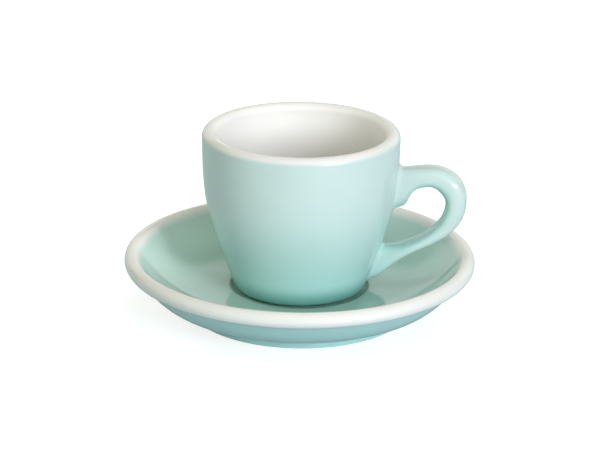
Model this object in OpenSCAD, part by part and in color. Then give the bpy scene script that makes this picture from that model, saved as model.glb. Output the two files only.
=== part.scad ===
// Espresso cup standing in its saucer.
// Both are thick white clay under glaze: mint outside and in the dish, white inside the cup and on the rims.
// Millimetres. Origin on the table under the saucer's centre, +Z up, handle towards +X.

/* [Saucer] */
// Outside diameter over the glazed rim
saucer_d = 115; // [105:0.5:130]
// Height of the rim's crest above the table
saucer_h = 20; // [18:0.5:26]
// Thickness of the rolled rim
saucer_rim_t = 5.1; // [4.2:0.1:6.2]
// Height of the seat that the cup stands on
seat_z = 8; // [7.2:0.1:9]
// Depth of the seat below the dish around it
seat_depth = 0.8; // [0.5:0.1:1.2]
// Room between the foot of the cup's wall and the step round the seat
seat_gap = 0.6; // [0.4:0.1:2]
// Outside diameter of the foot ring
saucer_foot_d = 72.2; // [64:0.2:78]
// Width of the foot ring
saucer_foot_w = 4.4; // [3.4:0.1:7]
// Height of the dish's underside where it meets the foot ring
saucer_foot_h = 3.5; // [2.6:0.1:4.2]
// Height of the sunk base inside the foot ring
saucer_base_z = 3.2; // [2.2:0.1:3.6]

/* [Cup] */
// Outside diameter at the rim
cup_d = 64.2; // [58:0.2:70]
// Height from the seat to the rim's crest
cup_h = 53.8; // [48:0.2:62]
// Thickness of the rolled rim
cup_rim_t = 4.7; // [3.6:0.1:5.4]
// Outside diameter where the wall turns under
cup_turn_d = 43.8; // [41:0.2:47]
// Lean of the wall outwards above that turn, in degrees
cup_lean = 18; // [12:0.5:24]
// How far the foot ring stands in from that turn
cup_foot_set = 2.7; // [2:0.1:5]
// Width of the foot ring
cup_foot_w = 3; // [2.2:0.1:5]
// Height of the foot ring
cup_foot_h = 0.7; // [0.6:0.1:1]
// Height of the sunk base inside the foot ring
cup_base_h = 1.2; // [1:0.1:2]
// Thickness of the floor
cup_floor_t = 4.8; // [4:0.1:6]

/* [Handle] */
// Depth of the crown below the cup's rim
handle_drop = 11; // [9:0.5:14]
// Height of the lower pad above the seat
handle_lift = 3.8; // [3:0.1:6]
// Reach of the bend beyond the cup's rim
handle_reach = 22; // [19:0.1:24]
// Width of the handle across the loop
handle_w = 9.2; // [8:0.1:11]
// Distance of the crown beyond the cup's rim
crown_out = 10.1; // [8.5:0.1:11.5]
// Thickness at the crown
crown_t = 6.7; // [5.6:0.1:7.6]
// Depth of the bend below the crown
bend_drop = 11.2; // [10:0.1:13]
// Thickness at the bend
bend_t = 6.9; // [5.8:0.1:8]
// Distance of the lower arm's middle beyond the cup's rim
arm_out = 6.3; // [5:0.1:7]
// Height of the lower arm's middle above the lower pad
arm_rise = 10.2; // [9:0.1:12]
// Slope of the lower arm, in degrees
arm_slope = 27; // [20:0.5:34]
// Thickness of the lower arm
arm_t = 3.8; // [3.2:0.1:5]
// Height of the upper pad on the wall
upper_pad_h = 13.3; // [11.5:0.1:15]
// Height of the lower pad on the wall
lower_pad_h = 11.4; // [10:0.1:12.5]
// Radius of the soft fillet round each pad
pad_fillet = 1.6; // [1:0.1:2.4]

/* [Glaze] */
// Thickness of the fired glaze
glaze = 0.4; // [0.3:0.05:0.5]
// Where the white turns mint on the cup's rim, in degrees above level
cup_glaze_line = 20; // [5:1:60]
// Where the white turns mint under the saucer's rim, in degrees below level
saucer_glaze_line = 75; // [50:1:80]
// Height of the bare clay left at the foot of each foot ring
dry_band = 0.25; // [0.15:0.05:0.3]

/* [Hidden] */
$fn = 120;
// Slip joint between the handle and the wall that it is luted to
slip = 0.05;
// Eased edge of the bare foot rings
foot_edge = dry_band / 2;
clay_colour = [0.90, 0.88, 0.84];
white_colour = [0.92, 0.92, 0.90];
mint_colour = [0.70, 0.86, 0.84];

// Curves

function bez(a, b, c, d, n) = [
    for (i = [0:n])
        let (t = i / n, u = 1 - t)
        u * u * u * a + 3 * u * u * t * b + 3 * u * t * t * c + t * t * t * d
];
function arc(centre, r, from, to, n) = [
    for (i = [0:n])
        let (a = from + (to - from) * i / n)
        centre + r * [cos(a), sin(a)]
];
function along(a) = [cos(a), sin(a)];
function span(path, from, to) = [for (i = [from:to]) path[i]];
function flip(path) = [for (i = [len(path) - 1:-1:0]) path[i]];
function unit(v) = v / norm(v);

// Runs of points laid end to end, each starting where the last one stopped
function chain(runs, k = 0) =
    k == len(runs) - 1
    ? runs[k]
    : concat(span(runs[k], 0, len(runs[k]) - 2), chain(runs, k + 1));

// A path moved to its right by d, which is into the clay
function inset(path, d) = [
    for (i = [0:len(path) - 1])
        let (
            before = path[max(i - 1, 0)],
            after = path[min(i + 1, len(path) - 1)],
            t = unit(after - before)
        )
        path[i] + d * [t[1], -t[0]]
];

// Saucer surface, from the middle of the seat out over the rim and in to the foot ring

saucer_bead = saucer_rim_t / 2;
saucer_bead_centre = [saucer_d / 2 - saucer_bead, saucer_h - saucer_bead];
// Where the dish runs into the rim, and where the underside leaves it, as angles on the rim's section.
// The mint glaze laps the rim by a few degrees before the underside leaves.
dish_join = 140;
rim_lap = 15;
under_join = -saucer_glaze_line - rim_lap;
seat_r = cup_turn_d / 2 + seat_gap;
seat_step = 1.2;
dish_z = seat_z + seat_depth;
dish_end = saucer_bead_centre + saucer_bead * along(dish_join);
// Pulls that shape the dish and the underside
dish_flat = 17;
dish_rise = 8;
under_drop = 2.8;
under_flat = 13.6;
under_rise = 1.2;
foot_fillet = 0.8;
saucer_foot_r = saucer_foot_d / 2;
under_start = saucer_bead_centre + saucer_bead * along(under_join);
under_end = [saucer_foot_r + foot_fillet, saucer_foot_h];

seat_run = [[0, seat_z], [seat_r - seat_step, seat_z]];
step_run = bez(
    [seat_r - seat_step, seat_z], [seat_r, seat_z],
    [seat_r, dish_z], [seat_r + seat_step, dish_z], 8
);
dish_run = bez(
    [seat_r + seat_step, dish_z], [seat_r + seat_step + dish_flat, dish_z],
    dish_end - dish_rise * along(dish_join - 90), dish_end, 16
);
white_run = arc(saucer_bead_centre, saucer_bead, dish_join, -saucer_glaze_line, 18);
under_bead_run = arc(saucer_bead_centre, saucer_bead, -saucer_glaze_line, under_join, 3);
under_run = bez(
    under_start, under_start + under_drop * along(under_join - 90),
    under_end + [under_flat, under_rise], under_end, 18
);
foot_run = chain([
    arc([under_end[0], saucer_foot_h - foot_fillet], foot_fillet, 90, 180, 5),
    [[saucer_foot_r, saucer_foot_h - foot_fillet], [saucer_foot_r, dry_band]]
]);
saucer_skin = chain([seat_run, step_run, dish_run, white_run, under_bead_run, under_run, foot_run]);
saucer_clay = inset(saucer_skin, glaze);
well_last = len(chain([seat_run, step_run, dish_run])) - 1;
white_last = well_last + len(white_run) - 1;

saucer_hollow_r = saucer_foot_r - saucer_foot_w;
saucer_base_skin = base_path(saucer_hollow_r, 0, saucer_base_z, foot_fillet);

// Underside of a foot: up the inner wall of the foot ring and in to the middle
function base_path(r, z, base_z, fillet) = chain([
    [[r, z + dry_band], [r, base_z - fillet]],
    arc([r - fillet, base_z - fillet], fillet, 0, 90, 5),
    [[r - fillet, base_z], [0, base_z]]
]);

// Bare foot ring between two clay walls, edges eased
function dry_foot(outer, inner, z) = [
    [outer, z + foot_edge], [outer - foot_edge, z],
    [inner + foot_edge, z], [inner, z + foot_edge]
];

// Cup surface, from the middle of the floor up over the rim and down to the foot ring

cup_r = cup_d / 2;
cup_top = seat_z + cup_h;
cup_bead = cup_rim_t / 2;
cup_bead_centre = [cup_r - cup_bead, cup_top - cup_bead];
cup_floor_z = seat_z + cup_base_h + cup_floor_t;
cup_bore_r = cup_r - cup_rim_t;
turn_r = 1.4;
turn_centre = [cup_turn_d / 2 - turn_r * cos(cup_lean), seat_z + cup_foot_h + turn_r];
wall_end = turn_centre + turn_r * along(-cup_lean);
cup_foot_r = cup_turn_d / 2 - cup_foot_set;
cup_hollow_r = cup_foot_r - cup_foot_w;
cup_foot_fillet = 0.3;
// Pulls that shape the bowl inside and the wall outside
floor_flat_r = 8;
floor_pull = 14;
bowl_pull = 33;
rim_pull = 27;
lean_pull = 22;

floor_run = [[0, cup_floor_z], [floor_flat_r, cup_floor_z]];
bowl_run = bez(
    [floor_flat_r, cup_floor_z], [floor_flat_r + floor_pull, cup_floor_z],
    [cup_bore_r, cup_bead_centre[1] - bowl_pull], [cup_bore_r, cup_bead_centre[1]], 20
);
white_rim_run = arc(cup_bead_centre, cup_bead, 180, cup_glaze_line, 14);
mint_rim_run = arc(cup_bead_centre, cup_bead, cup_glaze_line, 0, 3);
wall_run = bez(
    [cup_r, cup_bead_centre[1]], [cup_r, cup_bead_centre[1] - rim_pull],
    wall_end + lean_pull * along(90 - cup_lean), wall_end, 24
);
turn_run = arc(turn_centre, turn_r, -cup_lean, -90, 6);
cup_foot_run = chain([
    [[turn_centre[0], seat_z + cup_foot_h], [cup_foot_r + cup_foot_fillet, seat_z + cup_foot_h]],
    arc([cup_foot_r + cup_foot_fillet, seat_z + cup_foot_h - cup_foot_fillet], cup_foot_fillet, 90, 180, 4),
    [[cup_foot_r, seat_z + cup_foot_h - cup_foot_fillet], [cup_foot_r, seat_z + dry_band]]
]);
cup_skin = chain([floor_run, bowl_run, white_rim_run, mint_rim_run, wall_run, turn_run, cup_foot_run]);
cup_clay = inset(cup_skin, glaze);
liner_last = len(chain([floor_run, bowl_run, white_rim_run])) - 1;
wall_first = liner_last + len(mint_rim_run) - 1;
wall_last = wall_first + len(wall_run) - 1;
cup_base_skin = base_path(cup_hollow_r, seat_z, seat_z + cup_base_h, cup_foot_fillet);

// The wall's radius at a height: on the glaze, and on the clay under it
glazed_wall = [for (i = [wall_first:wall_last]) [cup_skin[i][1], cup_skin[i][0]]];
clay_wall = [for (i = [wall_first:wall_last]) [cup_clay[i][1], cup_clay[i][0]]];

// Handle: a loop lofted between an outer and an inner rail in the plane y = 0

crown_z = cup_top - handle_drop;
lower_pad_z = seat_z + handle_lift;
// Fall of the outer rail from the crown to the wall, and of the eye's far side below the bend
crown_dip = 0.8;
eye_drop = 0.9;
upper_pad_top = crown_z - crown_dip;
upper_pad_z = upper_pad_top - upper_pad_h;
lower_pad_top = lower_pad_z + lower_pad_h;
crown = [cup_r + crown_out, crown_z];
crown_inner = crown - [0, crown_t];
bend = [cup_r + handle_reach, crown_z - bend_drop];
bend_inner = bend - [bend_t, eye_drop];
arm = [cup_r + arm_out, lower_pad_z + arm_rise];
arm_inner = arm + arm_t * along(arm_slope + 90);
level = [1, 0];
upright = [0, 1];

// A point on the glazed wall at a height
function on_wall(z) = [lookup(z, glazed_wall), z];

// A quarter bend that leaves a level and arrives at b upright
function quarter(a, b, fullness) = [
    a, a + [fullness * (b[0] - a[0]), 0], b + [0, fullness * (a[1] - b[1])], b
];

// A rail in four curves: wall to crown, crown to bend, bend to lower arm, lower arm to wall.
// The pulls say how far each curve runs on before it turns, and how full the quarter bend is.
function rail(top, crown, bend, arm, foot, pulls) = [
    [top, top + pulls[0] * level, crown - pulls[1] * level, crown],
    quarter(crown, bend, pulls[2]),
    [bend, bend - pulls[3] * upright, arm + pulls[4] * along(arm_slope), arm],
    [arm, arm - pulls[5] * along(arm_slope), foot + pulls[6] * level, foot]
];
outer_pulls = [2.6, 3.7, 0.59, 10.4, 8.2, 12.6, 5];
inner_pulls = [7.4, 9.6, 0.39, 5.7, 7.6, 2.8, 4.2];
outer_rail = rail(on_wall(upper_pad_top), crown, bend, arm, on_wall(lower_pad_z), outer_pulls);
inner_rail = rail(
    on_wall(upper_pad_z), crown_inner, bend_inner, arm_inner, on_wall(lower_pad_top), inner_pulls
);

// A point on a rail, s counting whole curves from 0 to 4
function rail_point(rail, s) =
    let (
        k = min(floor(s), 3),
        t = s - k,
        u = 1 - t,
        c = rail[k]
    )
    u * u * u * c[0] + 3 * u * u * t * c[1] + 3 * u * t * t * c[2] + t * t * t * c[3];

// Sides of the handle's section, and its squareness: 2 is an oval
sides = 28;
squareness = 2.6;
function oval(k) =
    let (
        a = 360 * k / sides,
        e = 2 / squareness
    )
    [sign(cos(a)) * pow(abs(cos(a)), e), sign(sin(a)) * pow(abs(sin(a)), e)];

// How far a fillet stands out at distance d from the wall
function fillet_out(d) =
    d >= pad_fillet ? 0 : pad_fillet - sqrt(pow(pad_fillet, 2) - pow(pad_fillet - max(d, 0), 2));

// One section of the loop, eased out into the fillet near the wall
function loop_ring(s) =
    let (
        o = rail_point(outer_rail, s),
        i = rail_point(inner_rail, s),
        c = (o + i) / 2,
        n = unit(o - i),
        half_t = norm(o - i) / 2
    )
    [
        for (k = [0:sides - 1])
            let (
                q = oval(k),
                p = c + half_t * q[0] * n,
                y = handle_w / 2 * q[1],
                f = fillet_out(norm([p[0], y]) - lookup(p[1], glazed_wall)),
                e = c + (half_t + f) * q[0] * n
            )
            [e[0], (handle_w / 2 + f) * q[1], e[1]]
    ];

// Outline of a pad as [y, z], up is 1 on the upper pad and -1 on the lower one
function pad_outline(low, high, up, grow, share = 1) = [
    for (k = [0:sides - 1])
        let (q = oval(k) * share)
        [(handle_w / 2 + grow) * q[1], (low + high) / 2 + up * ((high - low) / 2 + grow) * q[0]]
];

// That outline laid on a wall
function pad_ring(outline, wall) = [
    for (p = outline)
        [sqrt(pow(lookup(p[1], wall) + slip, 2) - pow(p[0], 2)), p[0], p[1]]
];

// End of the handle: a face on the clay, a neck through the glaze, and the fillet's edge on the glaze
fillet_edge = 0.7 * pad_fillet;
function pad_rings(low, high, up) = concat(
    [for (share = [1 / 3, 2 / 3, 1]) pad_ring(pad_outline(low, high, up, 0, share), clay_wall)],
    [pad_ring(pad_outline(low, high, up, 0), glazed_wall)],
    [pad_ring(pad_outline(low, high, up, fillet_edge), glazed_wall)]
);
function pad_middle(low, high) = [lookup((low + high) / 2, clay_wall) + slip, 0, (low + high) / 2];

// Sections crowd towards the wall, where the fillet turns fastest
end_steps = 14;
loop_steps = 9;
loop_places = concat(
    [for (i = [2:end_steps]) pow(i / end_steps, 2)],
    [for (i = [1:2 * loop_steps]) 1 + i / loop_steps],
    [for (i = [1:end_steps - 2]) 4 - pow(1 - i / end_steps, 2)]
);

handle_rings = concat(
    pad_rings(upper_pad_z, upper_pad_top, 1),
    [for (s = loop_places) loop_ring(s)],
    flip(pad_rings(lower_pad_z, lower_pad_top, -1))
);

// A closed skin over rings of points, with a middle point in each end
module loft(rings, first, last) {
    sides_n = len(rings[0]);
    count = len(rings);
    points = concat([for (r = rings, p = r) p], [first, last]);
    faces = concat(
        [
            for (j = [0:count - 2], k = [0:sides_n - 1])
                let (
                    a = j * sides_n + k,
                    b = j * sides_n + (k + 1) % sides_n
                )
                each [[a, b + sides_n, a + sides_n], [a, b, b + sides_n]]
        ],
        [for (k = [0:sides_n - 1]) [count * sides_n, (k + 1) % sides_n, k]],
        [
            for (k = [0:sides_n - 1])
                let (base = (count - 1) * sides_n)
                [count * sides_n + 1, base + k, base + (k + 1) % sides_n]
        ]
    );
    polyhedron(points, faces, convexity = 6);
}

// Coat of glaze on a stretch of a surface, down to the clay under it
module coat(skin, clay, from, to) {
    rotate_extrude()
        polygon(concat(span(skin, from, to), flip(span(clay, from, to))));
}

// Opening that a pad of the handle takes in the cup's outer glaze
module pad_window(low, high) {
    rotate([90, 0, 90])
        linear_extrude(height = cup_d)
            polygon(pad_outline(low, high, 1, slip));
}

// Pieces of the saucer

module saucer_body() {
    color(clay_colour)
        rotate_extrude()
            polygon(concat(
                saucer_clay,
                dry_foot(saucer_foot_r - glaze, saucer_hollow_r + glaze, 0),
                inset(saucer_base_skin, glaze)
            ));
}

module saucer_rim_glaze() {
    color(white_colour)
        coat(saucer_skin, saucer_clay, well_last, white_last);
}

module saucer_well_glaze() {
    color(mint_colour)
        coat(saucer_skin, saucer_clay, 0, well_last);
}

module saucer_foot_glaze() {
    color(mint_colour) {
        coat(saucer_skin, saucer_clay, white_last, len(saucer_skin) - 1);
        coat(saucer_base_skin, inset(saucer_base_skin, glaze), 0, len(saucer_base_skin) - 1);
    }
}

// Pieces of the cup

module cup_body() {
    color(clay_colour)
        rotate_extrude()
            polygon(concat(
                cup_clay,
                dry_foot(cup_foot_r - glaze, cup_hollow_r + glaze, seat_z),
                inset(cup_base_skin, glaze)
            ));
}

module cup_liner_glaze() {
    color(white_colour)
        coat(cup_skin, cup_clay, 0, liner_last);
}

module cup_outer_glaze() {
    color(mint_colour) {
        difference() {
            coat(cup_skin, cup_clay, liner_last, len(cup_skin) - 1);
            pad_window(upper_pad_z, upper_pad_top);
            pad_window(lower_pad_z, lower_pad_top);
        }
        coat(cup_base_skin, inset(cup_base_skin, glaze), 0, len(cup_base_skin) - 1);
    }
}

module cup_handle() {
    color(mint_colour)
        loft(
            handle_rings,
            pad_middle(upper_pad_z, upper_pad_top),
            pad_middle(lower_pad_z, lower_pad_top)
        );
}

saucer_body();
saucer_rim_glaze();
saucer_well_glaze();
saucer_foot_glaze();
cup_body();
cup_liner_glaze();
cup_outer_glaze();
cup_handle();
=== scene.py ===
"""Looks of an espresso cup standing in its saucer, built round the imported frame.

Sizes are in millimetres, as in the part's source, until a mesh or a finish is made from them.
Angles are in degrees. Profiles are lists of (radius, height) and run from the middle out over
the rim and in to the foot.
"""

import math

import bmesh
import bpy
import numpy as np
from mathutils import Matrix, Vector


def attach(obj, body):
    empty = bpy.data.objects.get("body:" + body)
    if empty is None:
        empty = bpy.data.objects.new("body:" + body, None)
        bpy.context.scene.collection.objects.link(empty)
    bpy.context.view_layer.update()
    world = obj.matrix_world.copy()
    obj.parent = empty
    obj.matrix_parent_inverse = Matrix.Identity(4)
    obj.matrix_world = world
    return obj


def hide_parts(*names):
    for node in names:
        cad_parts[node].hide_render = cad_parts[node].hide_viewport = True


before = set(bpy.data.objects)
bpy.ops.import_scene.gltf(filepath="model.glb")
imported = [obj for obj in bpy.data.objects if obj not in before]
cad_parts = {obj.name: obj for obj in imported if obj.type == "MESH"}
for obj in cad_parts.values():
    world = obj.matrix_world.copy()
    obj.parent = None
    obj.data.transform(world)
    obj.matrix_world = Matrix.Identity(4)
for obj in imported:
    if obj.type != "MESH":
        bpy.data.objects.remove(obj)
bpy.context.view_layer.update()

MM = 0.001

# Saucer sizes: a bead is the radius of a rolled rim, and a join is an angle on it
SAUCER_R = 57.5
SAUCER_H = 20.0
SAUCER_BEAD = 2.55
SEAT_Z = 8.0
SEAT_DEPTH = 0.8
SEAT_GAP = 0.6
SEAT_STEP = 1.2
DISH_JOIN = 140.0
UNDER_JOIN = -90.0
SAUCER_FOOT_R = 36.1
SAUCER_FOOT_W = 4.4
SAUCER_FOOT_H = 3.5
SAUCER_FOOT_FILLET = 0.8
SAUCER_BASE_Z = 3.2

# How far the curves of the dish and of the underside are pulled at their ends
DISH_FLAT = 17.0
DISH_RISE = 8.0
UNDER_DROP = 2.8
UNDER_FLAT = 13.6
UNDER_RISE = 1.2

# Cup sizes: the turn is the round edge where the wall, leaning inwards, goes under to the foot
CUP_R = 32.1
CUP_H = 53.8
CUP_BEAD = 2.35
TURN_R = 21.9
TURN_ROUND = 1.4
CUP_LEAN = 18.0
CUP_FOOT_R = 19.2
CUP_FOOT_W = 3.0
CUP_FOOT_H = 0.7
CUP_FOOT_FILLET = 0.3
CUP_BASE_H = 1.2
CUP_FLOOR_T = 4.8
FLOOR_FLAT_R = 8.0

# How far the curves of the bowl and of the wall are pulled at their ends
FLOOR_PULL = 14.0
BOWL_PULL = 33.0
RIM_PULL = 27.0
LEAN_PULL = 22.0

# Handle sizes: drops are taken from the cup's top or the crown, reaches from the cup's rim
HANDLE_DROP = 11.0
HANDLE_LIFT = 3.8
HANDLE_REACH = 22.0
HANDLE_W = 9.2
CROWN_OUT = 10.1
CROWN_T = 6.7
CROWN_DIP = 0.8
BEND_DROP = 11.2
BEND_T = 6.9
EYE_DROP = 0.9
ARM_OUT = 6.3
ARM_RISE = 10.2
ARM_SLOPE = 27.0
ARM_T = 3.8
UPPER_PAD_H = 13.3
LOWER_PAD_H = 11.4
PAD_FILLET = 1.6
SQUARENESS = 2.6

# Pulls along each rail: off the wall, to the crown, fullness of the bend,
# out of the bend, to the arm, off the arm, to the wall
OUTER_PULLS = (2.6, 3.7, 0.59, 10.4, 8.2, 12.6, 5.0)
INNER_PULLS = (7.4, 9.6, 0.39, 5.7, 7.6, 2.8, 4.2)

# How far the handle's ends run on under the glaze, so that the fillet closes all round
END_DEPTHS = (0.7, 0.45, 0.25, 0.1)

# Glaze sizes: a glaze line is an angle on the rolled rim where one coat ends and the next begins
GLAZE = 0.4
CUP_GLAZE_LINE = 20.0
SAUCER_GLAZE_LINE = 75.0
DRY_BAND = 0.25
FOOT_EDGE = DRY_BAND / 2

# Steps along the stretches of the profiles
SEAT_STEPS = 8
SEAT_EDGE_STEPS = 20
DISH_STEPS = 60
SAUCER_RIM_STEPS = 72
UNDER_STEPS = 56
SAUCER_FILLET_STEPS = 10
SAUCER_FOOT_STEPS = 3
CUP_FLOOR_STEPS = 6
BOWL_STEPS = 72
CUP_RIM_STEPS = 64
CUP_WALL_STEPS = 90
TURN_STEPS = 16
TURNED_UNDER_STEPS = 2
CUP_FILLET_STEPS = 6
RIM_TAIL_STEPS = 10
BASE_WALL_STEPS = 2
BASE_FILLET_STEPS = 8
BASE_STEPS = 6

# Mesh fineness: on clay only every few points of a profile are kept
TURNED_SIDES = 240
COAT_BACK_STEP = 4
CLAY_STEP = 2
HANDLE_SIDES = 64
HANDLE_END_RINGS = 40
HANDLE_LOOP_RINGS = 40
FILLET_TRIES = 24
WELD_GAP = 0.004
CREASE_ANGLE = 40.0


# Curves


def cubic(a, b, c, d, t):
    """The point of a cubic curve at t, which runs from 0 to 1."""
    u = 1 - t
    return u**3 * a + 3 * u * u * t * b + 3 * u * t * t * c + t**3 * d


def bez(a, b, c, d, count):
    """Points on a cubic curve."""
    a, b, c, d = (np.array(p, float) for p in (a, b, c, d))
    return cubic(a, b, c, d, np.linspace(0, 1, count + 1)[:, None])


def along(degrees):
    """Unit step in a direction of the profile plane."""
    turn = math.radians(degrees)
    return np.array((math.cos(turn), math.sin(turn)))


def arc(centre, radius, start, end, count):
    """Points on a circular arc."""
    return np.array([centre + radius * along(a) for a in np.linspace(start, end, count + 1)])


def line(start, end, count=1):
    """Points on a straight run."""
    return np.linspace(start, end, count + 1)


def chain(*runs):
    """Runs laid end to end, each starting where the last one stopped."""
    return np.vstack([run[:-1] for run in runs[:-1]] + [runs[-1]])


def inset(path, depth):
    """A path moved to the right of its travel, which is into the clay."""
    before = np.vstack((path[:1], path[:-1]))
    after = np.vstack((path[1:], path[-1:]))
    step = after - before
    step /= np.linalg.norm(step, axis=1)[:, None]
    return path + depth * np.column_stack((step[:, 1], -step[:, 0]))


def thinned(path, step):
    """Every few points of a path, with both its ends."""
    keep = sorted({*range(0, len(path), step), len(path) - 1})
    return path[keep]


def base_path(radius, z, base_z, fillet):
    """Underside of a foot: up the inner wall of the foot ring and in to the middle."""
    return chain(
        line((radius, z + DRY_BAND), (radius, base_z - fillet), BASE_WALL_STEPS),
        arc((radius - fillet, base_z - fillet), fillet, 0, 90, BASE_FILLET_STEPS),
        line((radius - fillet, base_z), (0, base_z), BASE_STEPS),
    )


def dry_foot(outer, inner, z):
    """Bare foot ring between two clay walls, edges eased."""
    return np.array([
        (outer, z + FOOT_EDGE), (outer - FOOT_EDGE, z),
        (inner + FOOT_EDGE, z), (inner, z + FOOT_EDGE),
    ])


# Profiles of the saucer

saucer_bead_centre = np.array((SAUCER_R - SAUCER_BEAD, SAUCER_H - SAUCER_BEAD))
seat_r = TURN_R + SEAT_GAP
dish_z = SEAT_Z + SEAT_DEPTH
dish_start = np.array((seat_r + SEAT_STEP, dish_z))
dish_end = saucer_bead_centre + SAUCER_BEAD * along(DISH_JOIN)
under_start = saucer_bead_centre + SAUCER_BEAD * along(UNDER_JOIN)
under_end = np.array((SAUCER_FOOT_R + SAUCER_FOOT_FILLET, SAUCER_FOOT_H))
saucer_fillet_z = SAUCER_FOOT_H - SAUCER_FOOT_FILLET

well_skin = chain(
    line((0, SEAT_Z), (seat_r - SEAT_STEP, SEAT_Z), SEAT_STEPS),
    bez(
        (seat_r - SEAT_STEP, SEAT_Z), (seat_r, SEAT_Z),
        (seat_r, dish_z), dish_start, SEAT_EDGE_STEPS,
    ),
    bez(
        dish_start, dish_start + (DISH_FLAT, 0),
        dish_end - DISH_RISE * along(DISH_JOIN - 90), dish_end, DISH_STEPS,
    ),
)
rim_skin = arc(saucer_bead_centre, SAUCER_BEAD, DISH_JOIN, -SAUCER_GLAZE_LINE, SAUCER_RIM_STEPS)
under_skin = chain(
    arc(saucer_bead_centre, SAUCER_BEAD, -SAUCER_GLAZE_LINE, UNDER_JOIN, RIM_TAIL_STEPS),
    bez(
        under_start, under_start + UNDER_DROP * along(UNDER_JOIN - 90),
        under_end + (UNDER_FLAT, UNDER_RISE), under_end, UNDER_STEPS,
    ),
    arc((under_end[0], saucer_fillet_z), SAUCER_FOOT_FILLET, 90, 180, SAUCER_FILLET_STEPS),
    line((SAUCER_FOOT_R, saucer_fillet_z), (SAUCER_FOOT_R, DRY_BAND), SAUCER_FOOT_STEPS),
)
saucer_skin = chain(well_skin, rim_skin, under_skin)
saucer_clay = inset(saucer_skin, GLAZE)
well_last = len(well_skin) - 1
rim_last = well_last + len(rim_skin) - 1
saucer_last = len(saucer_skin) - 1
saucer_hollow_r = SAUCER_FOOT_R - SAUCER_FOOT_W
saucer_base = base_path(saucer_hollow_r, 0, SAUCER_BASE_Z, SAUCER_FOOT_FILLET)

# Profiles of the cup

cup_top = SEAT_Z + CUP_H
cup_bead_centre = np.array((CUP_R - CUP_BEAD, cup_top - CUP_BEAD))
cup_floor_z = SEAT_Z + CUP_BASE_H + CUP_FLOOR_T
bore_r = CUP_R - 2 * CUP_BEAD
cup_foot_z = SEAT_Z + CUP_FOOT_H
turn_centre = np.array((TURN_R - TURN_ROUND * along(CUP_LEAN)[0], cup_foot_z + TURN_ROUND))
wall_end = turn_centre + TURN_ROUND * along(-CUP_LEAN)
cup_fillet_centre = np.array((CUP_FOOT_R + CUP_FOOT_FILLET, cup_foot_z - CUP_FOOT_FILLET))

liner_skin = chain(
    line((0, cup_floor_z), (FLOOR_FLAT_R, cup_floor_z), CUP_FLOOR_STEPS),
    bez(
        (FLOOR_FLAT_R, cup_floor_z), (FLOOR_FLAT_R + FLOOR_PULL, cup_floor_z),
        (bore_r, cup_bead_centre[1] - BOWL_PULL), (bore_r, cup_bead_centre[1]), BOWL_STEPS,
    ),
    arc(cup_bead_centre, CUP_BEAD, 180, CUP_GLAZE_LINE, CUP_RIM_STEPS),
)
cup_wall = bez(
    (CUP_R, cup_bead_centre[1]), (CUP_R, cup_bead_centre[1] - RIM_PULL),
    wall_end + LEAN_PULL * along(90 - CUP_LEAN), wall_end, CUP_WALL_STEPS,
)
outer_skin = chain(
    arc(cup_bead_centre, CUP_BEAD, CUP_GLAZE_LINE, 0, RIM_TAIL_STEPS),
    cup_wall,
    arc(turn_centre, TURN_ROUND, -CUP_LEAN, -90, TURN_STEPS),
    line((turn_centre[0], cup_foot_z), (cup_fillet_centre[0], cup_foot_z), TURNED_UNDER_STEPS),
    arc(cup_fillet_centre, CUP_FOOT_FILLET, 90, 180, CUP_FILLET_STEPS),
    line((CUP_FOOT_R, cup_fillet_centre[1]), (CUP_FOOT_R, SEAT_Z + DRY_BAND)),
)
cup_skin = chain(liner_skin, outer_skin)
cup_clay = inset(cup_skin, GLAZE)
liner_last = len(liner_skin) - 1
cup_last = len(cup_skin) - 1
cup_hollow_r = CUP_FOOT_R - CUP_FOOT_W
cup_base = base_path(cup_hollow_r, SEAT_Z, SEAT_Z + CUP_BASE_H, CUP_FOOT_FILLET)


# Closed outlines


def coat_loop(skin, clay, first, last):
    """Outline of a coat of glaze on a stretch of a surface."""
    stretch = slice(first, last + 1)
    return np.vstack((skin[stretch], thinned(clay[stretch], COAT_BACK_STEP)[::-1]))


def base_loop(path):
    """Outline of the coat inside a foot ring."""
    return np.vstack((path, inset(path, GLAZE)[::-1]))


def body_loop(clay, foot_r, hollow_r, z, base):
    """Outline of a clay body."""
    foot = dry_foot(foot_r - GLAZE, hollow_r + GLAZE, z)
    return np.vstack((thinned(clay, CLAY_STEP), foot, inset(base, GLAZE)))


# Node helpers


def feed(tree, node, **inputs):
    """Sets inputs of a node, by name or numbered i0, i1 and on, to values or to sockets to link."""
    for key, value in inputs.items():
        numbered = key[1:].isdigit()
        socket = node.inputs[int(key[1:]) if numbered else key.replace("_", " ")]
        if isinstance(value, bpy.types.NodeSocket):
            tree.links.new(value, socket)
        else:
            socket.default_value = value


def add_node(tree, kind, settings=None, **inputs):
    """A new node with its settings and inputs."""
    node = tree.nodes.new(kind)
    for key, value in (settings or {}).items():
        setattr(node, key, value)
    feed(tree, node, **inputs)
    return node


def math_node(tree, operation, a, b=0.0):
    """The result of a sum on one or two numbers."""
    return add_node(tree, "ShaderNodeMath", {"operation": operation}, i0=a, i1=b).outputs[0]


# Turned pieces


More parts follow.
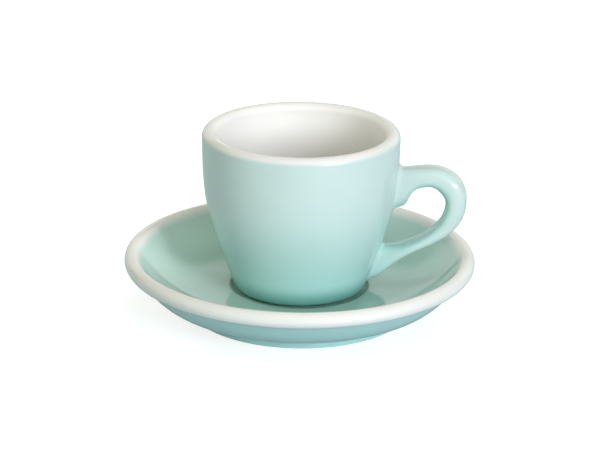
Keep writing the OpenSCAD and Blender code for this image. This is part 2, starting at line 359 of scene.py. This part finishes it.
def turned_tree():
    """Turns the object's own outline, a loop of points in the XZ plane, about the Z axis."""
    tree = bpy.data.node_groups.new("turned_piece", "GeometryNodeTree")
    for label, kind in (
        ("Outline", "NodeSocketGeometry"), ("Sides", "NodeSocketInt"),
        ("Weld gap", "NodeSocketFloat"), ("Finish", "NodeSocketMaterial"),
    ):
        tree.interface.new_socket(label, in_out="INPUT", socket_type=kind)
    tree.interface.new_socket("Piece", in_out="OUTPUT", socket_type="NodeSocketGeometry")
    given = tree.nodes.new("NodeGroupInput").outputs
    outline = given["Outline"]
    counted = add_node(tree, "GeometryNodeAttributeDomainSize", Geometry=outline)
    points = counted.outputs["Point Count"]
    columns = math_node(tree, "ADD", points, 1)
    rows = math_node(tree, "ADD", given["Sides"], 1)
    grid = add_node(tree, "GeometryNodeMeshGrid", Vertices_X=columns, Vertices_Y=rows)
    index = tree.nodes.new("GeometryNodeInputIndex").outputs[0]
    column = math_node(tree, "FLOOR", math_node(tree, "DIVIDE", index, rows))
    side = math_node(tree, "MODULO", index, rows)
    sample = add_node(
        tree, "GeometryNodeSampleIndex", {"data_type": "FLOAT_VECTOR"},
        Geometry=outline, Value=tree.nodes.new("GeometryNodeInputPosition").outputs[0],
        Index=math_node(tree, "MODULO", column, points),
    )
    share = math_node(tree, "DIVIDE", side, given["Sides"])
    swung = add_node(
        tree, "ShaderNodeVectorRotate", {"rotation_type": "Z_AXIS"},
        Vector=sample.outputs["Value"], Angle=math_node(tree, "MULTIPLY", share, math.tau),
    )
    spun = add_node(
        tree, "GeometryNodeSetPosition", Geometry=grid.outputs["Mesh"], Position=swung.outputs[0]
    )
    welded = add_node(
        tree, "GeometryNodeMergeByDistance",
        Geometry=spun.outputs[0], Distance=given["Weld gap"],
    )
    real = add_node(tree, "GeometryNodeRealizeInstances", Geometry=welded.outputs[0])
    finished = add_node(
        tree, "GeometryNodeSetMaterial", Geometry=real.outputs[0], Material=given["Finish"]
    )
    add_node(tree, "NodeGroupOutput", Piece=finished.outputs[0])
    return tree


TURNED = turned_tree()


def turned_mesh(name, loop, finish):
    """The plain mesh of one outline turned about the cup's axis."""
    outline = bpy.data.meshes.new(name + "_outline")
    count = len(loop)
    outline.from_pydata(
        [(r * MM, 0, z * MM) for r, z in loop], [(i, (i + 1) % count) for i in range(count)], []
    )
    blank = bpy.data.objects.new(name + "_blank", outline)
    bpy.context.scene.collection.objects.link(blank)
    modifier = blank.modifiers.new("turned", "NODES")
    modifier.node_group = TURNED
    given = {"Sides": TURNED_SIDES, "Weld gap": WELD_GAP * MM, "Finish": finish}
    for socket in TURNED.interface.items_tree:
        if socket.name in given:
            modifier[socket.identifier] = given[socket.name]
    graph = bpy.context.evaluated_depsgraph_get()
    mesh = bpy.data.meshes.new_from_object(blank.evaluated_get(graph), depsgraph=graph)
    blank.modifiers.remove(modifier)
    bpy.data.objects.remove(blank)
    bpy.data.meshes.remove(outline)
    return mesh


def placed(name, shape, finish):
    """An object from a finished bmesh, smooth but for its creases."""
    bmesh.ops.recalc_face_normals(shape, faces=shape.faces[:])
    mesh = bpy.data.meshes.new(name)
    shape.to_mesh(mesh)
    shape.free()
    mesh.materials.clear()
    mesh.materials.append(finish)
    mesh.shade_smooth()
    mesh.set_sharp_from_angle(angle=math.radians(CREASE_ANGLE))
    piece = bpy.data.objects.new(name, mesh)
    bpy.context.scene.collection.objects.link(piece)
    return piece


def turned(name, finish, loops):
    """A piece turned from one or more closed outlines."""
    shape = bmesh.new()
    for loop in loops:
        mesh = turned_mesh(name, loop, finish)
        shape.from_mesh(mesh)
        bpy.data.meshes.remove(mesh)
    return placed(name, shape, finish)


# Handle

wall_heights = cup_wall[::-1, 1]
wall_radii = cup_wall[::-1, 0]


def wall_radius(z):
    """Radius of the glazed wall at a height."""
    return np.interp(z, wall_heights, wall_radii)


def on_wall(z):
    """A point of the profile plane on the glazed wall."""
    return np.array((wall_radius(z), z))


def quarter(a, b, fullness):
    """A quarter bend that leaves a level and arrives at b upright."""
    return (a, a + (fullness * (b[0] - a[0]), 0), b + (0, fullness * (a[1] - b[1])), b)


def rail(top, crown, bend, arm, foot, pulls):
    """Wall to crown, crown to bend, bend to lower arm, lower arm to wall."""
    level, upright, slope = along(0), along(90), along(ARM_SLOPE)
    return (
        (top, top + pulls[0] * level, crown - pulls[1] * level, crown),
        quarter(crown, bend, pulls[2]),
        (bend, bend - pulls[3] * upright, arm + pulls[4] * slope, arm),
        (arm, arm - pulls[5] * slope, foot + pulls[6] * level, foot),
    )


def handle_rails():
    """Outer and inner rail of the loop, in the plane y = 0."""
    crown_z = cup_top - HANDLE_DROP
    lower_z = SEAT_Z + HANDLE_LIFT
    upper_top = crown_z - CROWN_DIP
    crown = np.array((CUP_R + CROWN_OUT, crown_z))
    bend = np.array((CUP_R + HANDLE_REACH, crown_z - BEND_DROP))
    arm = np.array((CUP_R + ARM_OUT, lower_z + ARM_RISE))
    outer = rail(on_wall(upper_top), crown, bend, arm, on_wall(lower_z), OUTER_PULLS)
    inner = rail(
        on_wall(upper_top - UPPER_PAD_H), crown - (0, CROWN_T), bend - (BEND_T, EYE_DROP),
        arm + ARM_T * along(ARM_SLOPE + 90), on_wall(lower_z + LOWER_PAD_H), INNER_PULLS,
    )
    return outer, inner


def rail_point(curves, s):
    """A point on a rail, s counting its curves from one end to the other."""
    k = min(int(s), len(curves) - 1)
    return cubic(*curves[k], s - k)


def fillet_out(gap):
    """How far the fillet stands out at a distance from the wall."""
    rest = np.clip(PAD_FILLET - gap, 0, PAD_FILLET)
    return PAD_FILLET - np.sqrt(PAD_FILLET**2 - rest**2)


section_turns = np.linspace(0, math.tau, HANDLE_SIDES, endpoint=False)


def rounded_square(wave):
    """A sine or cosine squared up to the roundness of the handle's section."""
    return np.sign(wave) * np.abs(wave) ** (2 / SQUARENESS)


def section(outer, inner):
    """One section of the loop between two rail points, eased out into the fillet near the wall."""
    across = rounded_square(np.sin(section_turns))
    upward = rounded_square(np.cos(section_turns))
    middle = (outer + inner) / 2
    half_t = np.linalg.norm(outer - inner) / 2
    normal = (outer - inner) / (2 * half_t)
    least, most = np.zeros(HANDLE_SIDES), np.full(HANDLE_SIDES, PAD_FILLET)
    for _ in range(FILLET_TRIES):
        flare = (least + most) / 2
        eased = middle + ((half_t + flare) * upward)[:, None] * normal
        sideways = (HANDLE_W / 2 + flare) * across
        gap = np.hypot(eased[:, 0], sideways) - wall_radius(eased[:, 1])
        wide = flare > fillet_out(gap)
        least, most = np.where(wide, least, flare), np.where(wide, flare, most)
    return np.column_stack((eased[:, 0], sideways, eased[:, 1]))


def handle_sections():
    """Sections of the loop from one end under the glaze to the other, closest near the wall."""
    outer, inner = handle_rails()
    last = len(outer)
    end = (np.arange(HANDLE_END_RINGS + 1) / HANDLE_END_RINGS) ** 2
    loop = 1 + np.arange(1, 2 * HANDLE_LOOP_RINGS) / HANDLE_LOOP_RINGS

    def at(s, depth=0.0):
        """The section at a place along the loop, pushed in towards the clay by a depth."""
        return section(rail_point(outer, s) - (depth, 0), rail_point(inner, s) - (depth, 0))

    upper_end = [at(0, depth) for depth in END_DEPTHS]
    whole = [at(s) for s in np.concatenate((end, loop, last - end[::-1]))]
    lower_end = [at(last, depth) for depth in reversed(END_DEPTHS)]
    return upper_end + whole + lower_end


# Point attribute that is 0 outside the loop, 1 inside it, where the mint gets painted shade
# with some gathered glaze, and halfway in the middle of the hidden ends
POOL_AND_SHADE = "pool_and_shade"
POOL_AND_SHADE_HALFWAY = 0.5


def lofted_handle(name, finish):
    """The loop as a closed skin over its sections."""
    shape = bmesh.new()
    rings = [[shape.verts.new(Vector(p) * MM) for p in ring] for ring in handle_sections()]
    for near, far in zip(rings, rings[1:]):
        for k in range(HANDLE_SIDES):
            after = (k + 1) % HANDLE_SIDES
            shape.faces.new((near[k], near[after], far[after], far[k]))
    ends = (rings[0], rings[-1])
    for ring in ends:
        middle = shape.verts.new(sum((v.co for v in ring), Vector()) / HANDLE_SIDES)
        for k in range(HANDLE_SIDES):
            shape.faces.new((ring[k], ring[(k + 1) % HANDLE_SIDES], middle))
    piece = placed(name, shape, finish)
    # 1 on the loop's inner faces, for their painted shade and gathered glaze
    inward = (1 - np.cos(section_turns)) / 2
    values = np.concatenate((np.tile(inward, len(rings)), [POOL_AND_SHADE_HALFWAY] * len(ends)))
    piece.data.attributes.new(POOL_AND_SHADE, "FLOAT", "POINT").data.foreach_set("value", values)
    return piece


# Colours of the finishes
MINT = (0.53, 0.65, 0.635, 1)
MINT_FLOW = (0.505, 0.635, 0.62, 1)
MINT_POOL = (0.36, 0.64, 0.63, 1)
# Deep mint of the dish, darker and greener than the saucer's other mint: painted shade, as the dish
# lies mostly in shade
MINT_DISH_SHADE = (0.32, 0.55, 0.48, 1)
# Painted shade at the cup's foot
MINT_FOOT_SHADE = (0.14, 0.41, 0.36, 1)
# Mint inside the handle's loop: painted shade on its inner faces, with some gathered glaze
MINT_INNER_POOL_AND_SHADE = (0.37, 0.63, 0.59, 1)
WHITE = (0.785, 0.78, 0.77, 1)
WHITE_FLOW = (0.765, 0.76, 0.75, 1)
WHITE_THIN = (0.73, 0.725, 0.71, 1)
CLAY = (0.68, 0.65, 0.59, 1)
CLAY_GRAIN = (0.56, 0.52, 0.46, 1)

# Where the white gives way to the mint: heights on the cup and under the rim, radii in the dish
CUP_LINE = (59.6, 61.0)
DISH_LINE = (51.3, 53.5)
UNDER_LINE = (14.7, 15.1)
LINE_WANDER = 0.5

# Radii between which the white, full inside the cup, breaks thin over the rim
THIN_EDGE = (27.2, 31.6)

# Radii between which the satin inside of the cup turns into the gloss of its rim
SATIN_EDGE = (26.5, 30.0)

# Heights between which the mint glaze, which runs down in the kiln, goes from deep to thin
CUP_RUN = (4, 50)
SAUCER_RUN = (-3, 36)
HANDLE_RUN = (-4, 40)

# Heights between which the painted shade at the cup's foot fades out upwards, darkest by the saucer
CUP_FOOT_SHADE = (8.4, 17)

# Values of the attribute between which the mint inside the loop deepens, with painted shade and
# gathered glaze
POOL_AND_SHADE_FADE = (0.5, 1.1)

# Noises of the glaze, as spots per metre and detail, and how they show
WANDER_NOISE = (90, 2.0)
FLOW_NOISE = (55, 3.0)
FLOW_EDGE = (0.3, 0.7)
MATT_NOISE = (140, 3.0)
GLAZE_ROUGHNESS = (0.52, 0.64)
RIPPLE_NOISE = (130, 1.0)
PEEL_NOISE = (700, 2.0)
PEEL_SHARE = 0.08
RIPPLE_STRENGTH = 0.6
RIPPLE_DEPTH = 0.02
GLAZE_IOR = 1.5
COAT_ROUGHNESS = 0.03

# Noises of the bare clay, as spots per metre, detail and roughness, and how they show
GRAIN_NOISE = (2600, 5.0, 0.65)
GRAIN_EDGE = (0.45, 0.75)
CLOUD_NOISE = (180, 3.0)
CLAY_ROUGHNESS = (0.75, 0.95)
GRAIN_STRENGTH = 0.7
GRAIN_DEPTH = 0.05
CLAY_IOR = 1.4


# Finishes


def fade(tree, value, low, high):
    """0 below low, 1 above high, soft between them."""
    return add_node(
        tree, "ShaderNodeMapRange", {"interpolation_type": "SMOOTHSTEP"},
        Value=value, From_Min=low, From_Max=high,
    ).outputs[0]


def fade_mm(tree, value, low, high):
    """The same for a place in metres, between bounds in millimetres."""
    return fade(tree, value, low * MM, high * MM)


def spread(tree, value, low, high):
    """A value from 0 to 1 spread from low to high."""
    return add_node(tree, "ShaderNodeMapRange", Value=value, To_Min=low, To_Max=high).outputs[0]


def noise(tree, place, spots, detail, roughness=0.5):
    """Soft noise from 0 to 1, with a number of spots per metre."""
    return add_node(
        tree, "ShaderNodeTexNoise", Vector=place, Scale=spots, Detail=detail, Roughness=roughness
    ).outputs[0]


def mixed(tree, share, a, b):
    """A colour between two colours."""
    return add_node(
        tree, "ShaderNodeMix", {"data_type": "RGBA"}, i0=share, i6=a, i7=b
    ).outputs[2]


def bumped(tree, height, strength, depth):
    """A normal roughened by a height from 0 to 1, to a depth in millimetres."""
    return add_node(
        tree, "ShaderNodeBump", Strength=strength, Distance=depth * MM, Height=height
    ).outputs[0]


def new_finish(name):
    """A new material, its node tree, its shader and the place of a point on the piece."""
    material = bpy.data.materials.new(name)
    material.use_nodes = True
    tree = material.node_tree
    place = tree.nodes.new("ShaderNodeTexCoord").outputs["Object"]
    return material, tree, tree.nodes["Principled BSDF"], place


def glaze_lines(tree, place):
    """Radius and height of a point, moved a little, so that lines wander as on a dipped pot."""
    parts = add_node(tree, "ShaderNodeSeparateXYZ", Vector=place).outputs
    across = math_node(tree, "SQRT", math_node(
        tree, "ADD", math_node(tree, "POWER", parts[0], 2), math_node(tree, "POWER", parts[1], 2)
    ))
    sway = math_node(tree, "SUBTRACT", noise(tree, place, *WANDER_NOISE), 0.5)
    wander = math_node(tree, "MULTIPLY", sway, LINE_WANDER * MM)
    return math_node(tree, "ADD", across, wander), math_node(tree, "ADD", parts[2], wander)


def cup_outside_white(tree, _, height):
    """White on the rim's crest, mint from just below it."""
    return fade_mm(tree, height, *CUP_LINE)


def cup_inside_white(tree, radius, height):
    """The same line on the outside of the rim, and white everywhere inside it."""
    inside = math_node(tree, "LESS_THAN", radius, cup_bead_centre[0] * MM)
    return math_node(tree, "MAXIMUM", fade_mm(tree, height, *CUP_LINE), inside)


def saucer_white(tree, radius, height):
    """White on the rolled rim, mint in the dish and underneath."""
    in_dish = fade_mm(tree, radius, *DISH_LINE)
    underneath = fade_mm(tree, height, *UNDER_LINE)
    return math_node(tree, "MULTIPLY", in_dish, underneath)


def mint_colour(tree, place, flow, run, deep, roll, pooled_and_shaded):
    """Mint that deepens down its run, with painted shade at the foot, and deeper inside the loop.
    """
    height = add_node(tree, "ShaderNodeSeparateXYZ", Vector=place).outputs[2]
    thin = mixed(tree, flow, MINT, MINT_FLOW)
    colour = mixed(tree, fade_mm(tree, height, *run), deep, thin)
    # Painted shade at the cup's foot, darkening it down to the saucer
    if roll:
        colour = mixed(tree, fade_mm(tree, height, *roll), MINT_FOOT_SHADE, colour)
    # Painted shade on the loop's inner faces, with some gathered glaze there
    if pooled_and_shaded:
        pool_and_shade = add_node(tree, "ShaderNodeAttribute", {"attribute_name": POOL_AND_SHADE}).outputs["Fac"]
        colour = mixed(tree, fade(tree, pool_and_shade, *POOL_AND_SHADE_FADE), colour, MINT_INNER_POOL_AND_SHADE)
    return colour


def glaze(name, run, whiteness=None, deep=MINT_POOL, roll=None, pooled_and_shaded=False, satin=False):
    """Fired gloss glaze: mint, and white where whiteness says so, satin inside the cup."""
    material, tree, shader, place = new_finish(name)
    flow = fade(tree, noise(tree, place, *FLOW_NOISE), *FLOW_EDGE)
    colour = mint_colour(tree, place, flow, run, deep, roll, pooled_and_shaded)
    ripple = noise(tree, place, *RIPPLE_NOISE)
    peel = math_node(tree, "MULTIPLY", noise(tree, place, *PEEL_NOISE), PEEL_SHARE)
    waves = math_node(tree, "ADD", ripple, peel)
    skin = bumped(tree, waves, RIPPLE_STRENGTH, RIPPLE_DEPTH)
    feed(
        tree, shader, IOR=GLAZE_IOR, Normal=skin,
        Roughness=spread(tree, noise(tree, place, *MATT_NOISE), *GLAZE_ROUGHNESS),
        Coat_Weight=1.0, Coat_Roughness=COAT_ROUGHNESS, Coat_IOR=GLAZE_IOR, Coat_Normal=skin,
    )
    if whiteness:
        radius, height = glaze_lines(tree, place)
        full = mixed(tree, flow, WHITE, WHITE_FLOW)
        white = mixed(tree, fade_mm(tree, radius, *THIN_EDGE), full, WHITE_THIN)
        colour = mixed(tree, whiteness(tree, radius, height), colour, white)
        if satin:
            feed(tree, shader, Coat_Weight=fade_mm(tree, radius, *SATIN_EDGE))
    feed(tree, shader, Base_Color=colour)
    return material


def bare_clay(name):
    """Unglazed fired clay, dry and finely grained."""
    material, tree, shader, place = new_finish(name)
    grain = noise(tree, place, *GRAIN_NOISE)
    cloud = noise(tree, place, *CLOUD_NOISE)
    specks = math_node(tree, "MULTIPLY", fade(tree, grain, *GRAIN_EDGE), cloud)
    feed(
        tree, shader, IOR=CLAY_IOR,
        Base_Color=mixed(tree, specks, CLAY, CLAY_GRAIN),
        Roughness=spread(tree, grain, *CLAY_ROUGHNESS),
        Normal=bumped(tree, grain, GRAIN_STRENGTH, GRAIN_DEPTH),
    )
    return material


# Pieces

clay = bare_clay("bare_clay")
# The dish's mint is a shaded copy of the saucer's, with painted shade in its deep colour
dish_mint = glaze("dish_mint_glaze", SAUCER_RUN, saucer_white, deep=MINT_DISH_SHADE)
under_mint = glaze("underside_mint_glaze", SAUCER_RUN, saucer_white)
saucer_rim_white = glaze("saucer_white_glaze", SAUCER_RUN, saucer_white)
# The cup's mint takes painted shade at its foot
cup_mint = glaze("cup_mint_glaze", CUP_RUN, cup_outside_white, roll=CUP_FOOT_SHADE)
cup_white = glaze("cup_white_glaze", CUP_RUN, cup_inside_white, satin=True)
# The handle's mint deepens inside its loop: painted shade with some gathered glaze
handle_mint = glaze("handle_mint_glaze", HANDLE_RUN, pooled_and_shaded=True)


def dress(piece, node, body):
    """Puts a finished piece in the place of its solid."""
    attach(piece, body)
    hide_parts(node)


TURNED_PIECES = (
    ("saucer_clay", "saucer_body", "saucer", "clay", clay, (
        body_loop(saucer_clay, SAUCER_FOOT_R, saucer_hollow_r, 0, saucer_base),
    )),
    ("saucer_white_rim", "saucer_rim_glaze", "saucer", "white_glaze", saucer_rim_white, (
        coat_loop(saucer_skin, saucer_clay, well_last, rim_last),
    )),
    ("saucer_mint_dish", "saucer_well_glaze", "saucer", "mint_glaze", dish_mint, (
        coat_loop(saucer_skin, saucer_clay, 0, well_last),
    )),
    ("saucer_mint_underside", "saucer_foot_glaze", "saucer", "mint_glaze", under_mint, (
        coat_loop(saucer_skin, saucer_clay, rim_last, saucer_last),
        base_loop(saucer_base),
    )),
    ("cup_clay", "cup_body", "cup", "clay", clay, (
        body_loop(cup_clay, CUP_FOOT_R, cup_hollow_r, SEAT_Z, cup_base),
    )),
    ("cup_white_liner", "cup_liner_glaze", "cup", "white_glaze", cup_white, (
        coat_loop(cup_skin, cup_clay, 0, liner_last),
    )),
    ("cup_mint_wall", "cup_outer_glaze", "cup", "mint_glaze", cup_mint, (
        coat_loop(cup_skin, cup_clay, liner_last, cup_last),
        base_loop(cup_base),
    )),
)
for name, node, body, slot, finish, loops in TURNED_PIECES:
    dress(turned(name, finish, loops), node, body)
dress(lofted_handle("cup_handle_loop", handle_mint), "cup_handle", "cup")


# Studio sizes and colours, in metres: the floor lies just under the foot, and the sweep is
# the white background that shows in the gloss
FLOOR_HALF = 4.0
FLOOR_Z = -0.1 * MM
FLOOR_COLOUR = (0.34, 0.48, 0.52, 1)
FLOOR_GLOW = (1, 0.935, 0.915, 1)
FLOOR_ROUGHNESS = 0.9
FLOOR_SPECULAR = 0.1
FLOOR_LIFT = 0.8
FLOOR_MIRRORED = 0.2
SWEEP_COLOUR = (1, 1, 1, 1)
SWEEP_MIRRORED = 0.85
SWEEP_TOP = (0.4, 0.55)
SWEEP_EDGE = (-0.02, 0.08)
WORLD_FILL = 0.02
WORLD_TINT = (1, 1, 0.9, 1)
LAMP_AIM = Vector((0, 0, 30 * MM))

# Lamps: name, compass, height, distance, size, watts and colour
GLINT_STRIP = ("glint_strip", 138, 14, 1.6, (0.5, 0.08), 22, (1, 1, 1))
SOFTBOXES = (
    ("key_softbox", 139, 17, 1.6, (0.55, 0.5), 17.4, (0.94, 0.95, 1)),
    ("front_softbox", 170, 14, 1.6, (0.6, 0.3), 5.6, (0.97, 1, 0.97)),
    ("front_left_softbox", 220, 16, 1.6, (0.6, 0.4), 3.8, (0.94, 1, 0.85)),
    ("upper_softbox", 145, 36, 1.5, (0.8, 0.8), 4.2, (0.97, 0.97, 1)),
    ("right_softbox", 45, 7, 1.5, (0.6, 0.25), 3.4, (0.98, 1, 0.96)),
    ("back_softbox", 30, 36, 1.5, (0.8, 0.8), 5, (0.97, 1, 0.88)),
    ("back_left_softbox", 315, 18, 1.5, (0.6, 0.3), 6.9, (0.98, 1, 0.91)),
    ("left_softbox", 240, 55, 1.5, (0.8, 0.8), 3.4, (1, 0.92, 0.66)),
    ("overhead_softbox", 0, 89, 1.5, (0.8, 0.8), 7.2, (1, 0.99, 0.88)),
)


# Studio


def background_rays(tree, mirrored):
    """1 for camera rays, and the share that is mirrored for glossy and transmission rays."""
    path = tree.nodes.new("ShaderNodeLightPath").outputs
    bounced = math_node(tree, "MAXIMUM", path["Is Glossy Ray"], path["Is Transmission Ray"])
    shown = math_node(tree, "MULTIPLY", bounced, mirrored)
    return math_node(tree, "MAXIMUM", path["Is Camera Ray"], shown)


def backdrop(tree):
    """How much shows in the gloss towards the white sweep behind the object, 0 towards the room."""
    way = tree.nodes.new("ShaderNodeTexCoord").outputs["Generated"]
    parts = add_node(tree, "ShaderNodeSeparateXYZ", Vector=way).outputs
    low = math_node(tree, "SUBTRACT", SWEEP_MIRRORED, fade(tree, parts[2], *SWEEP_TOP))
    inward = math_node(tree, "SUBTRACT", parts[1], math_node(tree, "ABSOLUTE", parts[0]))
    behind = fade(tree, inward, *SWEEP_EDGE)
    return math_node(tree, "MULTIPLY", math_node(tree, "MAXIMUM", low, 0.0), behind)


def studio_floor():
    """A plain pale floor, lifted to white for the camera but for the object's shadow."""
    mesh = bpy.data.meshes.new("studio_floor")
    reach = FLOOR_HALF
    corners = [(-reach, -reach), (reach, -reach), (reach, reach), (-reach, reach)]
    mesh.from_pydata([(x, y, FLOOR_Z) for x, y in corners], [], [(0, 1, 2, 3)])
    material, tree, shader, _ = new_finish("pale_floor")
    feed(
        tree, shader, Base_Color=FLOOR_COLOUR, Roughness=FLOOR_ROUGHNESS,
        Specular_IOR_Level=FLOOR_SPECULAR, Emission_Color=FLOOR_GLOW,
        Emission_Strength=math_node(
            tree, "MULTIPLY", background_rays(tree, FLOOR_MIRRORED), FLOOR_LIFT
        ),
    )
    mesh.materials.append(material)
    floor = bpy.data.objects.new("studio_floor", mesh)
    bpy.context.scene.collection.objects.link(floor)


def studio_world():
    """White behind the object, and a weak fill on it."""
    world = bpy.data.worlds.new("studio")
    world.use_nodes = True
    bpy.context.scene.world = world
    tree = world.node_tree
    tree.nodes.clear()
    fill = add_node(tree, "ShaderNodeBackground", Color=WORLD_TINT, Strength=WORLD_FILL)
    white = add_node(tree, "ShaderNodeBackground", Color=SWEEP_COLOUR, Strength=1.0)
    both = add_node(
        tree, "ShaderNodeMixShader",
        i0=background_rays(tree, backdrop(tree)), i1=fill.outputs[0], i2=white.outputs[0],
    )
    add_node(tree, "ShaderNodeOutputWorld", Surface=both.outputs[0])


def compass_way(compass, height):
    """Unit step away from the object: compass 0 is behind it, 90 on its right, 180 in front."""
    turn, rise = math.radians(compass), math.radians(height)
    level = math.cos(rise)
    return Vector((math.sin(turn) * level, math.cos(turn) * level, math.sin(rise)))


def lamp(name, compass, height, distance, size, watts, colour, glint=False):
    """A lamp aimed at the cup, which either lights it or, as a glint, shows in its gloss alone."""
    way = compass_way(compass, height)
    data = bpy.data.lights.new(name, "AREA")
    data.shape = "RECTANGLE"
    data.size, data.size_y = size
    data.energy = watts
    data.color = colour
    light = bpy.data.objects.new(name, data)
    light.visible_glossy = glint
    light.visible_diffuse = not glint
    light.location = LAMP_AIM + distance * way
    light.rotation_mode = "QUATERNION"
    light.rotation_quaternion = way.to_track_quat("Z", "Y")
    bpy.context.scene.collection.objects.link(light)


studio_floor()
studio_world()
lamp(*GLINT_STRIP, glint=True)
for softbox in SOFTBOXES:
    lamp(*softbox)


# Camera, as the photograph was taken
IMAGE_W = 600.0
IMAGE_H = 450.0
SENSOR_W = 36.0
FOCAL_PX = 2434.0
CAMERA_AIM = Vector((0, 0, 20 * MM))
CAMERA_DISTANCE = 0.8
CAMERA_COMPASS = 176.0
CAMERA_RISE = 20.53
CAMERA_ROLL = 0.73
AIM_X_PX = 299.8
AIM_Y_PX = 250.4


def photo_camera():
    """The camera at the photograph's viewing angle, its axis through the aim."""
    data = bpy.data.cameras.new("photo_camera")
    data.sensor_width = SENSOR_W
    data.lens = SENSOR_W * FOCAL_PX / IMAGE_W
    data.shift_x = (IMAGE_W / 2 - AIM_X_PX) / IMAGE_W
    data.shift_y = (AIM_Y_PX - IMAGE_H / 2) / IMAGE_W
    back = compass_way(CAMERA_COMPASS, CAMERA_RISE)
    place = Matrix.Translation(CAMERA_AIM + CAMERA_DISTANCE * back)
    level = (-back).to_track_quat("-Z", "Y").to_matrix().to_4x4()
    roll = Matrix.Rotation(math.radians(CAMERA_ROLL), 4, "Z")
    camera = bpy.data.objects.new("photo_camera", data)
    camera.matrix_world = place @ level @ roll
    bpy.context.scene.collection.objects.link(camera)
    bpy.context.scene.camera = camera


photo_camera()
bpy.context.scene.view_settings.view_transform = "Standard"
